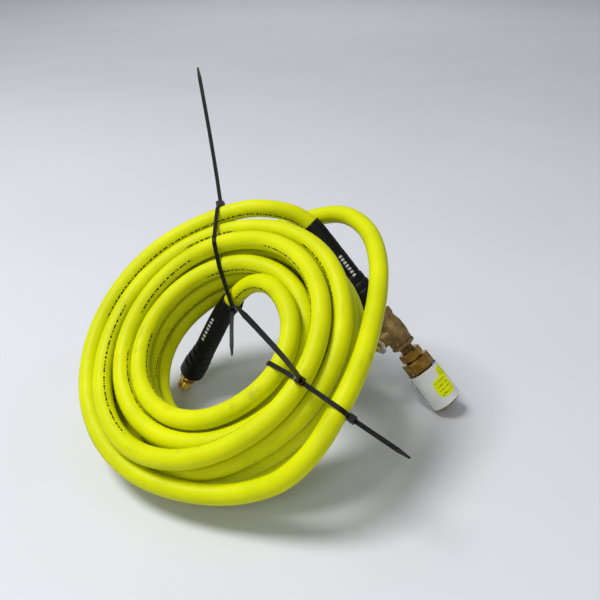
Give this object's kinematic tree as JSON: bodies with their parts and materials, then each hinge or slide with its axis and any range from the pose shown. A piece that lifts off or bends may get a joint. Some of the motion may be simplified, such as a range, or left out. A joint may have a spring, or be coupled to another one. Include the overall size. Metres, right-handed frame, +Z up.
{
  "type": "coiled air hose",
  "caption": "Coiled air hose tied with cable ties, with a bend restrictor and pipe fitting at each end, and a ball valve and quick coupler on its outer end.",
  "frame": {"origin": "under the middle of the part's box, on the surface it stands on", "axes": "+Z up; -Y towards the side the picture was taken from; +X towards the valve and coupler"},
  "size_m": [0.339, 0.3494, 0.2804],
  "materials": {
    "hose": "satin",
    "rubber": "matt",
    "nylon": "satin",
    "brass": "machined",
    "cast": "cast, tarnished",
    "steel": "plated",
    "chrome": "polished",
    "seat": "matt",
    "paper": "matt paper"
  },
  "bodies": {
    "hose": {"coupler_body": "brass", "hose_coil": "hose", "hose_inner_tail": "hose", "hose_outer_tail": "hose", "inner_bend_restrictor": "rubber", "inner_ferrule": "steel", "inner_fitting": "brass", "lock_ball_1": "steel", "lock_ball_2": "steel", "lock_ball_3": "steel", "lock_ball_4": "steel", "outer_bend_restrictor": "rubber", "outer_ferrule": "steel", "outer_fitting": "brass", "packing_nut": "brass", "poppet_spring": "steel", "reducing_bushing": "brass", "side_tie_1": "nylon", "side_tie_2": "nylon", "sleeve_spring": "steel", "sleeve_stop_ring": "steel", "stem_packing": "seat", "top_tie_1": "nylon", "top_tie_2": "nylon", "valve_body": "cast", "valve_end_piece": "cast", "valve_seat_inlet": "seat", "valve_seat_outlet": "seat"},
    "valve_handle": {"valve_lever": "steel", "lever_nut": "brass", "valve_stem": "steel", "valve_ball": "chrome"},
    "release_sleeve": {"coupler_sleeve": "brass", "coupler_label": "paper"},
    "check_valve": {"check_poppet": "steel"}
  },
  "joints": [
    {"name": "valve_turn", "type": "hinge", "parent": "hose", "child": "valve_handle", "pos_m": [0.10795, 0.02812, 0.0693], "axis": [-0.7064, -0.6303, -0.3221], "range_deg": [0, 90]},
    {"name": "sleeve_slide", "type": "slide", "parent": "hose", "child": "release_sleeve", "axis": [-0.6129, 0.3169, 0.7238], "range_m": [0, 0.005], "stiffness_N_per_m": 1500, "springref_m": -0.006, "deforming": ["sleeve_spring"]},
    {"name": "poppet_slide", "type": "slide", "parent": "hose", "child": "check_valve", "axis": [-0.6129, 0.3169, 0.7238], "range_m": [0, 0.003], "stiffness_N_per_m": 600, "springref_m": -0.004, "deforming": ["poppet_spring"]}
  ]
}
